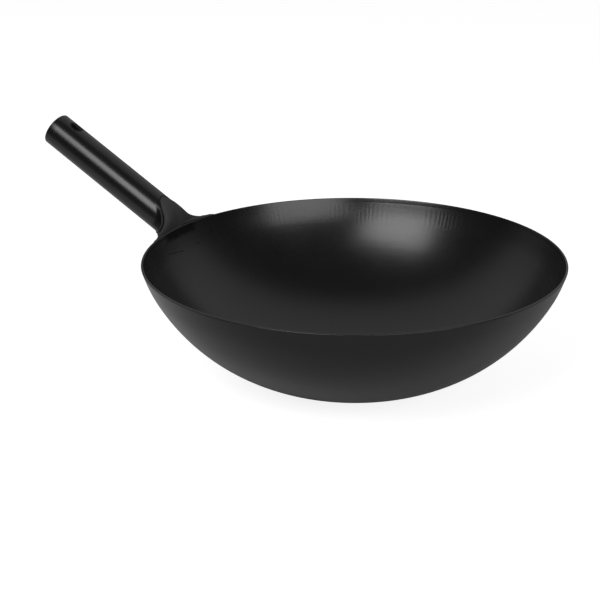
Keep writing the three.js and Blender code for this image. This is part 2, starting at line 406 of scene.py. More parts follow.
@dataclass(frozen=True)
class HandleLine:
    """The handle's axis, which crosses the rim's outer radius and rises outwards."""

    wall: WallLine
    rise: float = radians(28.4)
    below_rim: float = 2.8 * MM
    nose: float = 9.6 * MM
    nose_top_setback: float = 20.4 * MM
    nose_bottom_setback: float = 8.4 * MM

    @property
    def start(self) -> Vector:
        """Where the axis crosses the rim's outer radius."""
        return Vector((-self.wall.rim_radius, 0.0, self.wall.depth - self.below_rim))

    @property
    def axis(self) -> Vector:
        """Direction of the handle, outwards."""
        return Vector((-cos(self.rise), 0.0, sin(self.rise)))

    @property
    def above(self) -> Vector:
        """Direction square to the axis, upwards."""
        return Vector((sin(self.rise), 0.0, cos(self.rise)))

    def place(self, along: float, across: float, above: float) -> Vector:
        """A point given along the handle, across it and above its axis."""
        return self.start + self.axis * along + Vector((0.0, across, 0.0)) + self.above * above

    def round(self, along: float, radius: float, angle: float) -> Vector:
        """A point on a circle about the axis; the angle runs from the far side over the top."""
        return self.place(along, radius * cos(angle), radius * sin(angle))

    def measure(self, point: Vector) -> tuple[float, float, float]:
        """Place along the axis, distance from it and angle about it of a point."""
        offset = point - self.start
        high = offset.dot(self.above)
        return offset.dot(self.axis), hypot(offset.y, high), atan2(high, offset.y)

    def nose_at(self, angle: float) -> float:
        """How far along the handle the tube's root edge lies at an angle."""
        lift = sin(angle)
        return self.nose + (self.nose_top_setback if lift > 0 else self.nose_bottom_setback) * lift**2


@dataclass(frozen=True)
class BlackCoat:
    """Black coat on steel: a satin film with grain and cloudy gloss."""

    name: str
    tone: float = 0.0072
    roughness: float = 0.26
    sheen: float = 0.5
    cloud: float = 0.05
    cloud_scale: float = 38.0
    speck_scale: float = 260.0
    grain: float = 0.012 * MM
    grain_scale: float = 700.0
    dark: float = 0.75
    dark_blue: float = 0.76
    light: float = 1.3
    # tone of the dark dull skins: painted shade, and on the bowl also the marks of use
    shade_and_mark_tone: float = 0.003

    def material(self) -> bpy.types.Material:
        """Makes the material: the film, with dull skins over parts of it.

        Returns:
            A material with its nodes linked.
        """
        made = bpy.data.materials.new(self.name)
        made.use_nodes = True
        board = Board(made.node_tree)
        coat = self.film(board)
        for share, tone in self.skins(board):
            coat = board.shader("ShaderNodeMixShader", {0: share, 1: coat, 2: self.skin(board, tone)})
        board.node("ShaderNodeOutputMaterial", {"Surface": coat})
        made.diffuse_color = grey(self.tone * 3)
        return made

    def film(self, board: Board) -> Socket:
        """The coat's own shader.

        Args:
            board: The material's nodes.

        Returns:
            The shader's output.
        """
        clouds = board.noise(self.cloud_scale, 4.0, 0.6)
        specks = board.noise(self.speck_scale)
        dark, blue = self.tone * self.dark, self.tone * self.dark_blue
        light = grey(self.tone * self.light)
        gloss = self.roughness + (clouds - 0.5) * self.cloud + (specks - 0.5) * (self.cloud * 0.5)
        sockets = {
            "Base Color": board.blend(clouds * 0.7 + specks * 0.3, (dark, dark, blue, 1.0), light),
            "Roughness": gloss + self.scuffs(board),
            "Normal": board.bump(board.noise(self.grain_scale), self.grain, self.relief(board)),
            "IOR": 1.5,
            "Specular IOR Level": self.sheen,
        }
        return board.shader("ShaderNodeBsdfPrincipled", sockets)

    @staticmethod
    def skin(board: Board, tone: float) -> Socket:
        """The shader of a dull skin of one tone: painted shade, painted light on the tube's edge and bore,
        and marks of use.
        """
        colour = (tone, tone * 0.98, tone * 0.96, 1.0)
        sockets = {"Base Color": colour, "Roughness": 0.7, "Specular IOR Level": 0.06}
        return board.shader("ShaderNodeBsdfPrincipled", sockets)

    def skins(self, board: Board) -> list[Skin]:
        """Shares and tones of the dull skins; the plain coat has none."""
        return []

    def relief(self, board: Board) -> Socket | None:
        """A coarser relief under the grain; the plain coat has none."""
        return None

    def scuffs(self, board: Board) -> Wire | float:
        """Roughness that pressing adds; the plain coat has none."""
        return 0.0


@dataclass(frozen=True)
class SeamCoat(BlackCoat):
    """A coat that knows the seam between the tube's root edge and the bracket."""

    line: HandleLine = HandleLine(WallLine())
    sides: Span = (0.6, 0.84)
    underside: Span = (-0.55, -0.15)

    def seam(self, board: Board) -> tuple[Wire, Wire, Wire, Wire]:
        """Where a place is beside the seam.

        Args:
            board: The material's nodes.

        Returns:
            Distance back along the tube from the seam, distance from the axis, height over the axis by
            that distance, and how much the place is at the handle's sides, where the seam is deepest.
        """
        line = self.line
        out, up = board.x - line.start.x, board.z - line.start.z
        along = out * line.axis.x + up * line.axis.z
        above = out * line.above.x + up * line.above.z
        radius = (board.y * board.y + above * above) ** 0.5 + TINY
        lift = above / radius
        on_top = board.math("GREATER_THAN", lift, 0.0)
        setback = line.nose_bottom_setback + on_top * (line.nose_top_setback - line.nose_bottom_setback)
        aside = board.ease(abs(board.y) / radius, *self.sides) * board.ease(lift, *self.underside)
        return along - line.nose - setback * lift * lift, radius, lift, aside


@dataclass(frozen=True)
class BracketCoat(SeamCoat):
    """The bracket's coat, with painted shade in the crevice along the seam."""

    # painted shade: the bracket darkened beside the seam, where the crevice lies in shadow
    crevice: Span = (-3.0 * MM, -1.8 * MM)
    crevice_shade_share: float = 0.75

    def skins(self, board: Board) -> list[Skin]:
        """Painted shade in the crevice."""
        back, _, _, aside = self.seam(board)
        # painted shade in the crevice beside the tube's root edge
        return [(board.ease(back, *self.crevice) * aside * self.crevice_shade_share, self.shade_and_mark_tone)]


@dataclass(frozen=True)
class TubeCoat(SeamCoat):
    """The tube's coat: painted shade by the seam, a painted highlight on the root edge and painted light in
    the bore.
    """

    # painted shade: the tube darkened and dulled next to the seam, where its highlight ends
    root_shade: Span = (7.15 * MM, 11.0 * MM)
    root_shade_share: float = 0.75
    root_shade_on_top: float = 0.5
    ragged: float = 3.0 * MM
    ragged_scale: float = 300.0
    ragged_detail: float = 3.0
    # painted highlight: a lighter band on the root edge, where the edge catches the light
    lip_highlight: Span = (1.05 * MM, 1.95 * MM)
    lip_highlight_share: float = 0.8
    lip_highlight_tone: float = 0.05
    # painted light: the bore lightened, as if light reached inside through the slot
    bore: Span = (13.6 * MM, 13.8 * MM)
    bore_light_tone: float = 0.13

    def skins(self, board: Board) -> list[Skin]:
        """The painted shade by the seam, the painted highlight on the root edge and the painted light in the
        bore.

        Args:
            board: The material's nodes.

        Returns:
            Their shares and tones.
        """
        back, radius, lift, aside = self.seam(board)
        ragged = (board.noise(self.ragged_scale, self.ragged_detail) - 0.5) * self.ragged
        reached = back * (1.0 + board.math("MAXIMUM", lift, 0.0) * self.root_shade_on_top) + ragged
        # painted shade next to the seam, with a ragged edge
        root_shaded = board.fade(reached, *self.root_shade) * aside * self.root_shade_share
        # painted highlight on the root edge
        lip_highlight = board.fade(back, *self.lip_highlight) * aside * self.lip_highlight_share
        # painted light in the bore
        bore_lit = board.fade(radius, *self.bore)
        return [(root_shaded, self.shade_and_mark_tone), (lip_highlight, self.lip_highlight_tone), (bore_lit, self.bore_light_tone)]


@dataclass(frozen=True)
class Mark:
    """A scratch or a spot of use on the inner wall near the handle."""

    arc: float
    fall: float
    half_length: float
    half_width: float
    tilt: float
    depth: float
    full_length: float = 0.75
    full_width: float = 0.3

    def mask(self, board: Board, arc: Wire, fall: Wire) -> Wire:
        """How much of the mark is at a place of the wall.

        Args:
            board: The material's nodes.
            arc: Length round the rim from the handle's side.
            fall: Depth under the rim.

        Returns:
            The mark's share, from 0 to its depth.
        """
        cosine, sine = cos(self.tilt), sin(self.tilt)
        beside, under = arc - self.arc, fall - self.fall
        along = abs(beside * cosine + under * sine)
        across = abs(under * cosine - beside * sine)
        ends = board.fade(along, self.half_length * self.full_length, self.half_length)
        return ends * board.fade(across, self.half_width * self.full_width, self.half_width) * self.depth


@dataclass(frozen=True)
class BowlCoat(BlackCoat):
    """The bowl's coat: pressing streaks under the rim, turning lines, painted shade beside the bracket and
    marks of use.
    """

    wall: WallLine = WallLine()
    streak: float = 0.07 * MM
    streak_pitch: float = 4.4 * MM
    streak_scale: float = 330.0
    streak_drift: float = 12.0
    drift_scale: float = 45.0
    patch_scale: float = 70.0
    patch_edge: Span = (0.3, 0.7)
    up_wall: float = 0.06
    round_wall: float = 0.04
    band_start: Span = (3.0 * MM, 10.0 * MM)
    band_end: Span = (10.4 * MM, 26.0 * MM)
    band_scuff: float = 0.02
    turning: float = 0.03 * MM
    turning_scale: float = 420.0
    # painted shade: a dark crescent on the inner wall just under the rim, beside the bracket
    shade_fall: Span = (4.9 * MM, 9.45 * MM)
    shade_half_width: Span = (18.275 * MM, 29.025 * MM)
    shade_aside: float = 6.5 * MM
    shade_share: float = 0.89
    ragged: float = 5.0 * MM
    ragged_scale: float = 420.0
    ragged_detail: float = 3.0
    clean_edge: Span = (0.1 * MM, 0.7 * MM)
    inner_face: Span = (0.6 * MM, 1.4 * MM)
    marks: tuple[Mark, ...] = (
        Mark(-23.0 * MM, 17.0 * MM, 15.0 * MM, 0.75 * MM, 0.142, 0.55),
        Mark(-22.0 * MM, 13.6 * MM, 6.0 * MM, 0.6 * MM, 0.10, 0.3),
        Mark(12.7 * MM, 18.0 * MM, 3.2 * MM, 0.7 * MM, 0.0, 0.55),
        Mark(34.4 * MM, 11.5 * MM, 1.4 * MM, 1.3 * MM, 0.0, 0.6),
    )

    def skins(self, board: Board) -> list[Skin]:
        """Painted shade on the inner face just under the rim beside the bracket, together with the marks of
        use.

        Args:
            board: The material's nodes.

        Returns:
            Its share and tone.
        """
        arc = self.turn(board) * self.wall.rim_radius
        fall = self.wall.depth - board.z
        ragged = (board.noise(self.ragged_scale, self.ragged_detail) - 0.5) * self.ragged
        # painted shade under the rim beside the bracket, with a ragged edge
        low = board.fade(fall + ragged, *self.shade_fall)
        wide = board.fade(abs(arc + self.shade_aside + ragged), *self.shade_half_width)
        dull = low * wide * board.ease(fall, *self.clean_edge) * self.shade_share
        for mark in self.marks:
            dull = board.math("MAXIMUM", dull, mark.mask(board, arc, fall))
        return [(dull * self.inside(board), self.shade_and_mark_tone)]

    def scuffs(self, board: Board) -> Wire | float:
        """Roughness of the pressed band under the rim."""
        return self.band(board) * self.inside(board) * self.band_scuff

    def relief(self, board: Board) -> Socket | None:
        """Streaks up the inner wall and fine lines round it.

        Args:
            board: The material's nodes.

        Returns:
            The bumped normal.
        """
        x, y, z = board.x, board.y, board.z
        spread = self.wall.rim_radius / (board.out + TINY)
        upright = board.join(x * spread, y * spread, z * self.up_wall)
        waves = 2 * pi * self.wall.rim_radius / self.streak_pitch
        phase = self.turn(board) * waves + board.noise(self.drift_scale, at=upright) * self.streak_drift
        patches = board.ease(board.noise(self.patch_scale, 1.0, at=upright), *self.patch_edge)
        fine = board.noise(self.streak_scale, 1.0, at=upright)
        lines = board.math("SINE", phase) * (patches * 0.8 + 0.2) * 0.3 + fine * 0.7
        streaks = board.bump(lines * self.inside(board) * self.band(board), self.streak)
        level = board.join(x * self.round_wall, y * self.round_wall, z)
        return board.bump(board.noise(self.turning_scale, 2.0, 0.6, level), self.turning, streaks)

    def turn(self, board: Board) -> Wire:
        """Angle round the bowl from the handle's side."""
        return board.math("ARCTAN2", board.y, 0.0 - board.x)

    def band(self, board: Board) -> Wire:
        """1 in the band under the rim that pressing has marked, and 0 elsewhere."""
        fall = self.wall.depth - board.z
        return board.ease(fall, *self.band_start) * board.fade(fall, *self.band_end)

    def inside(self, board: Board) -> Wire:
        """1 on the wall's inner face and 0 on its outer face."""
        arc = self.wall.arc_radius
        chord = board.math("SQRT", board.math("MAXIMUM", arc**2 - (arc - board.z) ** 2.0, 0.0))
        return board.ease(chord + self.wall.base_radius - board.out, *self.inner_face)


class Piece:
    """A piece of the wok, which stands for one CAD node."""

    node: str
    slot: Slot
    finish: BlackCoat

    @property
    def name(self) -> str:
        """The piece's name in the scene."""
        return f"wok_{self.node}"

    def build(self) -> bpy.types.Object:
        """Makes the piece; each kind of piece has its own way."""
        raise NotImplementedError

    def dress(self, piece: bpy.types.Object) -> None:
        """Puts the finish on the finished piece and lets it stand for its CAD node.

        Args:
            piece: What build gave.
        """
        piece.data.materials.clear()
        piece.data.materials.append(self.finish.material())
        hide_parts(self.node)
        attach(piece, BODY)
        LOG.info("%s: %d faces, for %s", piece.name, len(piece.data.polygons), self.node)


@dataclass
class Bowl(Piece):
    """The pressed bowl: flat base, arched wall and a rounded rim edge."""

    wall: WallLine
    finish: BlackCoat
    node: ClassVar[str] = "bowl"
    slot: ClassVar[Slot] = Slot.BOWL
    rim_corner: float = 0.5 * MM
    rim_reach: float = 0.9 * MM
    band: float = 24.0 * MM
    lean: float = 0.055
    groove_fall: float = 4.0 * MM
    groove_depth: float = 0.03 * MM
    groove_half_width: float = 1.2 * MM
    lean_share: float = 0.35
    last_outside: float = 3.0 * MM
    last_inside: float = 1.4 * MM
    sides: int = 192
    wall_steps: int = 42
    band_steps: int = 12
    groove_steps: int = 5
    corner_steps: int = 4

    def profile(self) -> list[Point]:
        """Radius and height of each ring: up the outside from the base's edge, over the rim and down.

        Returns:
            The rings in order.
        """
        band, corner = self.band, self.rim_corner
        wall = replace(self.wall, rim_radius=self.wall.rim_radius + self.lean_share * self.lean * band)
        arc = wall.arc_radius
        length = wall.arc_end * arc + self.rim_reach
        up = [length - (length - band) * step / self.wall_steps for step in range(self.wall_steps + 1)]
        up += [band * step / self.band_steps for step in range(self.band_steps - 1, 3, -1)]
        turns = [pi / 2 * step / self.corner_steps for step in range(self.corner_steps + 1)]

        def leaning(back: float) -> float:
            """How far the upright band under the rim has drawn in from the arc."""
            half = band / 2
            return self.lean * (max(band - max(back, half), 0.0) ** 2 / band + max(half - back, 0.0))

        def on_wall(depth: float, back: float) -> Point:
            """A point under the wall's outer face, at a length back from the rim's cut edge."""
            angle, ray = (length - back) / arc, arc - depth - leaning(back)
            return wall.base_radius + ray * sin(angle), arc - ray * cos(angle)

        def inner(back: float) -> Point:
            """A point of the inner face, with the fine groove that trimming leaves under the rim."""
            aside = min(abs(back - self.groove_fall) / self.groove_half_width, 1.0)
            return on_wall(wall.sheet - self.groove_depth * cos(pi / 2 * aside) ** 2, back)

        cuts = range(self.groove_steps, -self.groove_steps - 1, -1)
        grooved = [self.groove_fall + self.groove_half_width * (cut / self.groove_steps) for cut in cuts]
        outside = [on_wall(0.0, back) for back in up + [self.last_outside]]
        bends = [(corner * (1 - cos(turn)), corner * (1 - sin(turn))) for turn in turns]
        edge = [on_wall(near, far) for near, far in bends]
        edge += [on_wall(wall.sheet - far, near) for near, far in bends]
        return outside + edge + [inner(back) for back in reversed(up + grooved + [self.last_inside])]

    def build(self) -> bpy.types.Object:
        """Draws the wall up from a disc, ring by ring.

        Returns:
            The bowl.
        """
        rings = self.profile()
        bpy.ops.mesh.primitive_circle_add(vertices=self.sides, radius=rings[0][0], fill_type="NGON")
        Bench.edit(Pick.EDGES)
        bpy.ops.mesh.select_all(action="SELECT")
        for (radius, height), (wider, higher) in zip(rings, rings[1:]):
            bpy.ops.mesh.extrude_edges_move()
            grow = wider / radius
            bpy.ops.transform.resize(value=(grow, grow, 1.0), center_override=(0.0, 0.0, height))
            bpy.ops.transform.translate(value=(0.0, 0.0, higher - height))
        bpy.ops.mesh.edge_face_add()
        return Bench.done(self.name, smooth_degrees=40.0)


@dataclass
class Tube(Piece):
    """The handle's tube: coped root edge, rounded free end and a hanging hole through both walls."""

    line: HandleLine
    finish: BlackCoat
    node: ClassVar[str] = "handle_tube"
    slot: ClassVar[Slot] = Slot.TUBE
    radius: float = 15.0 * MM
    sheet: float = 1.5 * MM
    end: float = 153.5 * MM
    end_rounding: float = 0.9 * MM
    flare: float = 1.0 * MM
    flare_reach: float = 7.2 * MM
    flare_power: float = 1.3
    flare_from: Span = (0.5, 0.55)
    flare_blend: float = 0.3
    flare_far_side: float = 0.4
    lip: float = 0.1 * MM
    lip_back: float = 0.5 * MM
    lip_width: float = 0.42 * MM
    edge_rounding: float = 0.3 * MM
    edge_reach: float = 0.4 * MM
    hole_half_width: float = 4.5 * MM
    hole_half_length: float = 6.4 * MM
    hole_from_end: float = 18.5 * MM
    hole_rounding: float = 0.4 * MM
    sides: int = 128
    hole_sides: int = 72

    def build(self) -> bpy.types.Object:
        """Shapes a cylinder into the drilled tube.

        Returns:
            The tube.
        """
        line = self.line
        bpy.ops.mesh.primitive_cylinder_add(
            vertices=self.sides,
            radius=self.radius,
            depth=self.end,
            end_fill_type="NOTHING",
            location=line.place(self.end / 2, 0.0, 0.0),
            rotation=(0.0, line.rise - pi / 2, 0.0),
        )
        Bench.settle()
        Bench.edit(Pick.POINTS)
        hole = self.end - self.hole_from_end
        beside_hole = [hole + away * MM for away in (-12, -8, 8, 12)]
        for along in [55 * MM, 85 * MM, 110 * MM, *beside_hole]:
            bpy.ops.mesh.select_all(action="SELECT")
            bpy.ops.mesh.bisect(plane_co=line.place(along, 0.0, 0.0), plane_no=line.axis)
        Bench.select(Pick.EDGES, lambda place: line.measure(place)[0] < 1 * MM)
        Bench.move_selected(lambda place: self.on_root(place, 12 * MM))
        coarse = (10.0, 9.0, 8.2, 7.4, 6.6, 5.8, 5.0, 4.2, 3.4, 2.6, 1.9, 1.4)
        fine = (1.1, 0.9, 0.7, 0.5, 0.3, 0.15, 0.0)
        for back in coarse + fine:
            bpy.ops.mesh.extrude_edges_move()
            Bench.move_selected(lambda place, back=back: self.on_root(place, back * MM))
        bpy.ops.object.mode_set(mode="OBJECT")
        Bench.modify("SOLIDIFY", thickness=self.sheet, offset=-1.0)
        self.drill(hole)
        self.round_edges(hole)
        return Bench.done(self.name, smooth_degrees=35.0)

    def on_root(self, place: Vector, back: float) -> Vector:
        """A point of the coped root, which flares at the sides and ends in a rounded lip.

        Args:
            place: A point at the same angle about the handle.
            back: Distance from the root edge.

        Returns:
            The point.
        """
        _, _, angle = self.line.measure(place)
        side = abs(cos(angle)) - self.flare_from[0 if sin(angle) > 0 else 1]
        share = min(max(side / self.flare_blend, 0.0), 1.0)
        share *= 1.0 if cos(angle) < 0 else self.flare_far_side
        flared = self.flare * max(0.0, 1 - back / self.flare_reach) ** self.flare_power
        lip = self.lip * exp(-(((back - self.lip_back) / self.lip_width) ** 2))
        edge = self.edge_rounding * max(0.0, 1 - back / self.edge_reach) ** 2
        radius = self.radius + (flared + lip) * share - edge
        return self.line.round(self.line.nose_at(angle) + back, radius, angle)

    @property
    def hole_reach(self) -> float:
        """Distance of the slot's round ends from its middle."""
        return self.hole_half_length - self.hole_half_width

    def drill(self, hole: float) -> None:
        """Cuts the hanging slot square to the axis, with a cylinder that is drawn out to both sides."""
        line, tube = self.line, bpy.context.object
        bpy.ops.mesh.primitive_cylinder_add(
            vertices=self.hole_sides,
            radius=self.hole_half_width,
            depth=self.radius * 4,
            location=line.place(hole, 0.0, 0.0),
            rotation=(0.0, line.rise, 0.0),
        )
        Bench.settle()
        drill = bpy.context.object
        Bench.edit(Pick.POINTS)
        for side in (1.0, -1.0):
            Bench.select(Pick.POINTS, lambda at, side=side: (line.measure(at)[0] - hole) * side > NEAR / 2)
            bpy.ops.transform.translate(value=line.axis * (side * self.hole_reach))
        bpy.ops.object.mode_set(mode="OBJECT")
        drill.select_set(False)
        bpy.context.view_layer.objects.active = tube
        tube.select_set(True)
        Bench.modify("BOOLEAN", operation="DIFFERENCE", solver="EXACT", object=drill)
        bpy.data.objects.remove(drill)

    def round_edges(self, hole: float) -> None:
        """Rounds the free end and the hole's outer edges."""
        line, skin, slack = self.line, self.radius - NEAR, 0.05 * MM
        Bench.edit(Pick.EDGES)

        def at_end(place: Vector) -> bool:
            """Whether a point is on the free end's outer edge."""
            along, radius, _ = line.measure(place)
            return along > self.end - NEAR and radius > skin

        def at_hole(place: Vector) -> bool:
            """Whether a point is on the hole's edge in the tube's skin."""
            offset = place - line.place(hole, 0.0, 0.0)
            away = hypot(offset.y, max(abs(offset.dot(line.axis)) - self.hole_reach, 0.0))
            return abs(away - self.hole_half_width) < slack and line.measure(place)[1] > skin - slack

        for test, offset, segments in ((at_end, self.end_rounding, 5), (at_hole, self.hole_rounding, 3)):
            Bench.select(Pick.EDGES, test)
            bpy.ops.mesh.bevel(offset=offset, segments=segments, affect="EDGES", clamp_overlap=True)
        bpy.ops.object.mode_set(mode="OBJECT")


@dataclass
class EndCap(Piece):
    """The pressed plug that closes the tube's free end, slightly crowned."""

    line: HandleLine
    finish: BlackCoat
    node: ClassVar[str] = "handle_end_cap"
    slot: ClassVar[Slot] = Slot.TUBE
    radius: float = 13.2 * MM
    end: float = Tube.end
    skirt: float = 8.0 * MM
    crown: float = 1.2 * MM
    corner: float = 1.6 * MM
    rings: int = 6
    inset: float = 0.97
    sides: int = 96

    def build(self) -> bpy.types.Object:
        """Draws a disc up into the plug and crowns its face.

        Returns:
            The cap.
        """
        line = self.line
        bpy.ops.mesh.primitive_circle_add(
            vertices=self.sides,
            radius=self.radius,
            fill_type="NGON",
            location=line.place(self.end - self.skirt, 0.0, 0.0),
            rotation=(0.0, line.rise - pi / 2, 0.0),
        )
        Bench.settle()
        Bench.edit(Pick.FACES)
        bpy.ops.mesh.select_all(action="SELECT")
        shoulder = self.end - self.crown
        lift = line.axis * (shoulder - (self.end - self.skirt))
        bpy.ops.mesh.extrude_region_move(TRANSFORM_OT_translate={"value": lift})
        for step in range(self.rings):
            near, far = step / self.rings, (step + 1) / self.rings
            rise = self.crown * ((1 - near) ** 2 - (1 - far) ** 2)
            bpy.ops.mesh.inset(thickness=self.radius * self.inset / self.rings, depth=rise)

        def at_shoulder(place: Vector) -> bool:
            """Whether a point is on the edge between the skirt and the crowned face."""
            along, radius, _ = line.measure(place)
            return radius > self.radius - NEAR and abs(along - shoulder) < NEAR

        Bench.select(Pick.EDGES, at_shoulder)
        bpy.ops.mesh.bevel(offset=self.corner, segments=5, affect="EDGES", clamp_overlap=True)
        return Bench.done(self.name, smooth_degrees=35.0)


@dataclass
class Bracket(Piece):
    """The pressed trumpet between the tube and the rim, its neck inside the tube."""

    line: HandleLine
    finish: BlackCoat
    node: ClassVar[str] = "handle_bracket"
    slot: ClassVar[Slot] = Slot.BRACKET
    skin_radius: float = 14.6 * MM
    neck_radius: float = 11.4 * MM
    neck_end: float = 50.0 * MM
    seam: float = 0.7 * MM
    lip: float = 0.5 * MM
    foot_half_width: float = 46.0 * MM
    foot_drop: float = 30.0 * MM
    foot_tip: float = 5.0 * MM
    foot_edge: float = 1.0 * MM
    top_power: float = 4.0
    top_spread: float = 0.08
    belly_power: float = 1.3
    flare_at_side: float = 0.12
    flare_at_top: float = 0.16
    flare_at_bottom: float = 0.0
    flare_between: float = 0.5
    shoulder: float = 4.5 * MM
    shoulder_middle: float = 0.85
    lip_share: float = 0.022
    lip_steps: int = 5
    clearance: float = 0.05 * MM
    foot_rings: tuple[float, ...] = (1.0, 0.985, 0.8, 0.55, 0.3, 0.1)
    sides: int = 144
    steps: int = 36
    cuts: int = 160

    def foot(self, angle: float, outside: float) -> Vector:
        """A point of the foot's outline on the wall.

        Args:
            angle: Angle about the handle.
            outside: Distance out from the wall.

        Returns:
            The point.
        """
        wall = self.line.wall
        lift, sweep = sin(angle), cos(angle)
        half_tip = self.foot_tip / 2
        if lift > 0:
            spread = self.top_spread + (1 - self.top_spread) * abs(sweep) ** self.top_power
            arc = self.foot_half_width * sweep * spread
            return wall.place(arc, wall.depth - half_tip * (1 - sqrt(lift)), outside)
        fall = half_tip + (self.foot_drop - half_tip) * abs(lift) ** self.belly_power
        return wall.place(self.foot_half_width * sweep, wall.depth - fall, outside)

    def flare(self, angle: float) -> Callable[[float], Vector]:
        """The trumpet's line at an angle, from the tube's root edge to the foot.

        Args:
            angle: Angle about the handle.

        Returns:
            A rule that gives the point at a share of the line past the seam.
        """
        nose = self.line.nose_at(angle)
        sine = sin(angle)
        other = self.flare_at_top if sine > 0 else self.flare_at_bottom
        straight = self.flare_at_side + (other - self.flare_at_side) * sqrt(abs(sine))
        fuller = sin(2 * angle) ** 2
        if sine > abs(cos(angle)):
            fuller = 1 - (1 - self.shoulder_middle) * cos(2 * angle) ** 2
        if sine > 0:
            straight += self.flare_between * fuller
        start = self.line.round(nose, self.skin_radius, angle)
        bend = self.line.round(nose * (1 - straight), self.skin_radius + self.shoulder * fuller, angle)
        end = self.foot(angle, self.foot_edge)
        cuts = self.cuts
        shares = [cut / cuts for cut in range(cuts + 1)]
        points = [start * (1 - t) ** 2 + bend * (2 * t * (1 - t)) + end * t**2 for t in shares]
        lengths = [0.0]
        for near, far in zip(points, points[1:]):
            lengths.append(lengths[-1] + (far - near).length)

        def at(share: float) -> Vector:
            """The point at a share of the line past the seam."""
            want = self.seam + (lengths[-1] - self.seam) * share
            index = next(i for i in range(1, cuts + 1) if lengths[i] >= want or i == cuts)
            part = (want - lengths[index - 1]) / (lengths[index] - lengths[index - 1])
            return points[index - 1].lerp(points[index], min(max(part, 0.0), 1.0))

        return at

    def rings(self) -> list[list[Vector]]:
        """All rings from the neck's end inside the tube to the middle of the foot.

        Returns:
            The rings in order.
        """
        line, wall = self.line, self.line.wall
        angles = [2 * pi * side / self.sides for side in range(self.sides)]
        flares = [self.flare(angle) for angle in angles]
        rings = [
            [line.round(self.neck_end, self.neck_radius, angle) for angle in angles],
            [line.round(line.nose_at(angle) - self.seam, self.neck_radius, angle) for angle in angles],
        ]

        def sunk(place: Vector, depth: float) -> Vector:
            """A point drawn in towards the handle's axis."""
            along, radius, angle = line.measure(place)
            return line.round(along, radius - depth, angle)

        for step in range(self.lip_steps):
            turn = pi / 2 * step / self.lip_steps
            share = self.lip_share * (1 - cos(turn))
            rings.append([sunk(flare(share), self.lip * (1 - sin(turn))) for flare in flares])
        for step in range(self.steps + 1):
            share = self.lip_share + (1 - self.lip_share) * step / self.steps
            rings.append([flare(share) for flare in flares])
        middle = wall.depth - self.foot_drop / 2
        for share in self.foot_rings:
            ring = []
            for angle in angles:
                place = self.foot(angle, 0.0)
                arc = atan2(place.y, -place.x) * wall.rim_radius * share
                height = middle + (place.z - middle) * share
                ring.append(wall.round(arc, wall.outer(height) + self.clearance, height))
            rings.append(ring)
        return rings

    def build(self) -> bpy.types.Object:
        """Draws the trumpet from its neck to its foot.

        Returns:
            The bracket.
        """
        rings = self.rings()
        loft = Loft(rings[0])
        loft.close()
        Bench.pick_mode(Pick.EDGES)
        for ring in rings[1:]:
            loft.draw(ring)
        loft.close()
        return Bench.done(self.name, smooth_degrees=40.0)


@dataclass
class Weld(Piece):
    """A weld bead: overlapping drops of metal along a line, run together."""

    node: str
    path: Callable[[float], Vector]
    across: float
    height: float
    pitch: float
    finish: BlackCoat
    voxel: float = 0.28 * MM
    thin_end: float = 0.45
    overlap: float = 0.95
    swell: float = 0.07
    ripple: float = 0.05
    step: float = 0.01
    least: int = 4
    cuts: int = 200
    slot: ClassVar[Slot] = Slot.WELD

    def build(self) -> bpy.types.Object:
        """Copies one drop along the line, joins the copies and runs them together.

        Returns:
            The bead.
        """
        bpy.ops.mesh.primitive_uv_sphere_add(segments=24, ring_count=14, radius=1.0)
        drop = bpy.context.object
        spots = [self.path(cut / self.cuts) for cut in range(self.cuts + 1)]
        length = sum((far - near).length for near, far in zip(spots, spots[1:]))
        count = max(self.least, round(length / self.pitch))
        drops = []
        for index in range(count + 1):
            share = index / count
            spot = self.path(share)
            after, before = min(share + self.step, 1.0), max(share - self.step, 0.0)
            ahead = (self.path(after) - self.path(before)).normalized()
            out = Vector((spot.x, spot.y, 0.0)).normalized()
            out = (out - ahead * out.dot(ahead)).normalized()
            up = ahead.cross(out)
            size = self.thin_end + (1 - self.thin_end) * sqrt(abs(sin(pi * share)))
            size *= 1 + self.swell * sin(5.3 * index) + self.ripple * sin(2.1 * index + 1.0)
            turn = Matrix((ahead, out, up)).transposed().to_4x4()
            scale = Matrix.Diagonal((self.pitch * self.overlap, self.across * size, self.height * size, 1.0))
            copy = bpy.data.objects.new(f"{self.name}_drop_{index}", drop.data.copy())
            copy.data.transform(Matrix.Translation(spot) @ turn @ scale)
            bpy.context.scene.collection.objects.link(copy)
            drops.append(copy)
        bpy.data.objects.remove(drop)
        bpy.ops.object.select_all(action="DESELECT")
        for copy in drops:
            copy.select_set(True)
        bpy.context.view_layer.objects.active = drops[0]
        bpy.ops.object.join()
        Bench.modify("REMESH", mode="VOXEL", voxel_size=self.voxel)
        Bench.modify("SMOOTH", factor=0.5, iterations=3)
        return Bench.done(self.name, smooth_degrees=60.0)


@dataclass(frozen=True)
class Softbox:
    """A large soft lamp that faces the wok."""

    name: str
    azimuth: float
    elevation: float
    distance: float
    width: float
    height: float
    radiance: float

    def hang(self, aim: Vector) -> None:
        """Hangs the lamp, turned to a point."""
        lamp = bpy.data.lights.new(self.name, "AREA")
        lamp.shape = "RECTANGLE"
        lamp.size = self.width
        lamp.size_y = self.height
        lamp.energy = self.radiance * pi * self.width * self.height
        holder = bpy.data.objects.new(self.name, lamp)
        bpy.context.scene.collection.objects.link(holder)
        turn, lift = radians(self.azimuth), radians(self.elevation)
        away = Vector((sin(turn) * cos(lift), -cos(turn) * cos(lift), sin(lift)))
        holder.location = aim + away * self.distance
        holder.rotation_euler = away.to_track_quat("Z", "Y").to_euler()
        holder.visible_camera = False


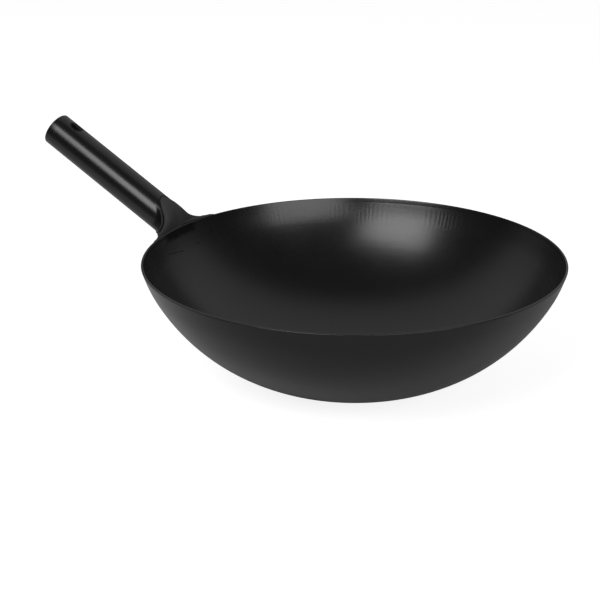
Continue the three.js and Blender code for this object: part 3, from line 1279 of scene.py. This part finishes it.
@dataclass(frozen=True)
class Studio:
    """Pale floor, soft lamps and a glow from the wall behind, as the coat's own reflections show them."""

    aim: Vector = Vector((-0.06, 0.0, 0.09))
    floor_size: float = 30.0
    floor_tone: float = 0.43
    floor_dusk: float = 0.14
    floor_white: float = 0.85
    floor_sheen: float = 0.08
    floor_sheen_left: float = 0.16
    floor_drop: float = 0.02 * MM
    dusk_start: Span = (0.28, 0.55)
    backwards: Point = (-0.53, 0.85)
    sheen_near: Span = (-0.2, -0.08)
    sheen_left: Span = (0.05, 0.25)
    sheen_left_back: Span = (-0.15, 0.05)
    sheen_out: Span = (0.0, 0.2)
    glow: float = 0.46
    glow_azimuth: float = 210.0
    glow_tilt: float = 10.0
    glow_facing: Span = (0.12, 0.44)
    glow_rise: Span = (-0.2, 0.52)
    dim: float = 0.014
    boxes: tuple[Softbox, ...] = (
        Softbox("key_box", 0.0, 40.4, 2.3, 1.43, 1.24, 5.75),
        Softbox("side_box", 61.5, 21.7, 2.3, 1.82, 1.15, 3.4),
    )

    def build(self) -> None:
        """Sets up the floor, the lamps and the surroundings."""
        self.lay_floor()
        self.light_room()
        for box in self.boxes:
            box.hang(self.aim)
        LOG.info("studio: floor, %d lamps and the room", len(self.boxes))

    def lay_floor(self) -> None:
        """Lays the floor under the base; the camera sees it white, with the wok's shadow."""
        bpy.ops.mesh.primitive_plane_add(size=self.floor_size, location=(0.0, 0.0, -self.floor_drop))
        Bench.settle()
        floor = bpy.context.object
        floor.name = floor.data.name = "studio_floor"
        made = bpy.data.materials.new("studio_floor")
        made.use_nodes = True
        board = Board(made.node_tree)
        seen, glossy = board.seen(), board.ray("Is Glossy Ray")
        x, y = board.x, board.y
        dusk = glossy * board.ease(0.0 - y, *self.dusk_start)
        colour = board.blend(dusk, grey(self.floor_tone), grey(self.floor_dusk))
        matt = board.shader("ShaderNodeBsdfDiffuse", {"Color": colour})
        white = board.shader("ShaderNodeEmission", {"Color": WHITE, "Strength": self.floor_white})
        shown = board.shader("ShaderNodeAddShader", {0: matt, 1: white})
        back = x * self.backwards[0] + y * self.backwards[1]
        left = board.ease(0.0 - x, *self.sheen_left) * board.ease(back, *self.sheen_left_back)
        near = board.ease(back, *self.sheen_near) * self.floor_sheen
        away = board.ease(board.out, *self.sheen_out) * (left * self.floor_sheen_left + near)
        mirrored = glossy * (1.0 - seen) * away
        mixed = board.shader("ShaderNodeMixShader", {0: seen + mirrored, 1: matt, 2: shown})
        board.node("ShaderNodeOutputMaterial", {"Surface": mixed})
        floor.data.materials.append(made)
        floor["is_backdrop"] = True

    def light_room(self) -> None:
        """Sets the surroundings: white to the camera, and elsewhere a glow from behind over a dim room."""
        world = bpy.data.worlds.new("studio_room")
        bpy.context.scene.world = world
        world.use_nodes = True
        board = Board(world.node_tree, "Generated")
        turn, tilt = radians(self.glow_azimuth), radians(self.glow_tilt)
        facing = (board.x * sin(turn) - board.y * cos(turn)) * cos(tilt) + board.z * sin(tilt)
        behind = board.ease(facing, *self.glow_facing) * board.ease(board.z, *self.glow_rise)
        seen = board.seen()
        strength = seen + (1.0 - seen) * (self.dim + behind * self.glow)
        sky = board.shader("ShaderNodeBackground", {"Color": WHITE, "Strength": strength})
        board.node("ShaderNodeOutputWorld", {"Surface": sky})


@dataclass(frozen=True)
class Viewpoint:
    """The camera, where the photograph was taken from."""

    place: Vector = Vector((0.7160, -1.2341, 0.5860))
    forward: Vector = Vector((-0.4973, 0.7979, -0.3407))
    roll: float = -0.00433
    lens: float = 108.25
    sensor: float = 36.0
    clip: Span = (0.05, 60.0)

    def set(self) -> None:
        """Makes the camera and takes it into use."""
        lens = bpy.data.cameras.new("photo_camera")
        lens.lens = self.lens
        lens.sensor_width = self.sensor
        lens.clip_start, lens.clip_end = self.clip
        camera = bpy.data.objects.new("photo_camera", lens)
        bpy.context.scene.collection.objects.link(camera)
        ahead = self.forward.normalized()
        level = ahead.cross(Vector((0.0, 0.0, 1.0))).normalized()
        upright = level.cross(ahead)
        right = level * cos(self.roll) + upright * sin(self.roll)
        up = upright * cos(self.roll) - level * sin(self.roll)
        turn = Matrix((right, up, -ahead)).transposed().to_4x4()
        camera.matrix_world = Matrix.Translation(self.place) @ turn
        bpy.context.scene.camera = camera


def welds(bracket: Bracket, finish: BlackCoat) -> list[Weld]:
    """The four welds: two along the rim, one under the bracket's foot and one under the tube's root.

    Args:
        bracket: The bracket that they hold.
        finish: Their coat.

    Returns:
        The welds.
    """
    line, wall = bracket.line, bracket.line.wall

    def rim(side: float, span: Span, under: Span, outside: float, share: float) -> Vector:
        """Line of a weld along the rim at one tip of the foot, from one depth under the rim to another."""
        arc = side * (span[0] + (span[1] - span[0]) * share)
        return wall.place(arc, wall.depth - under[0] - (under[1] - under[0]) * share, outside)

    def under_foot(share: float) -> Vector:
        """Line of the weld along the foot's lower edge."""
        return bracket.foot(radians(-150 + 120 * share), 1.6 * MM)

    def under_tube(share: float) -> Vector:
        """Line of the weld in the corner under the tube's root edge."""
        angle = radians(-130 + 80 * share)
        return line.round(line.nose_at(angle) - 0.5 * MM, Tube.radius, angle)

    left = partial(rim, -1.0, (22.0 * MM, 48.0 * MM), (2.0 * MM, 2.0 * MM), 0.9 * MM)
    right = partial(rim, 1.0, (4.0 * MM, 44.0 * MM), (-0.6 * MM, 0.8 * MM), 1.2 * MM)
    return [
        Weld("rim_weld_left", left, 1.2 * MM, 1.6 * MM, 1.9 * MM, finish),
        Weld("rim_weld_right", right, 1.4 * MM, 1.7 * MM, 2.4 * MM, finish),
        Weld("bracket_weld", under_foot, 1.9 * MM, 2.6 * MM, 2.3 * MM, finish, voxel=0.4 * MM),
        Weld("tube_weld", under_tube, 1.9 * MM, 1.9 * MM, 2.0 * MM, finish),
    ]


def main() -> None:
    """Sets the camera, builds the wok's pieces in order and then the studio."""
    logging.basicConfig(level=logging.INFO, format="%(message)s")
    bpy.context.scene.view_settings.view_transform = "Standard"
    Viewpoint().set()
    wall = WallLine()
    line = HandleLine(wall)
    bowl_coat = BowlCoat("black_bowl_coat", wall=wall)
    tube_coat = TubeCoat("black_tube_coat", line=line)
    bracket_coat = BracketCoat(
        "black_bracket_coat", tone=0.035, roughness=0.62, sheen=0.2, grain=0.02 * MM, line=line
    )
    weld_coat = BlackCoat("black_weld_coat", tone=0.02, roughness=0.42, grain=0.03 * MM)
    bracket = Bracket(line, bracket_coat)
    makers: list[Piece] = [Bowl(wall, bowl_coat), Tube(line, tube_coat), EndCap(line, tube_coat), bracket]
    for maker in makers + welds(bracket, weld_coat):
        maker.dress(maker.build())
    Studio().build()
    boxes = {"cad": CAD_BOX, "visual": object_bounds()}
    {key: [list(corner) for corner in box] for key, box in boxes.items()}


if __name__ == "__main__":
    main()
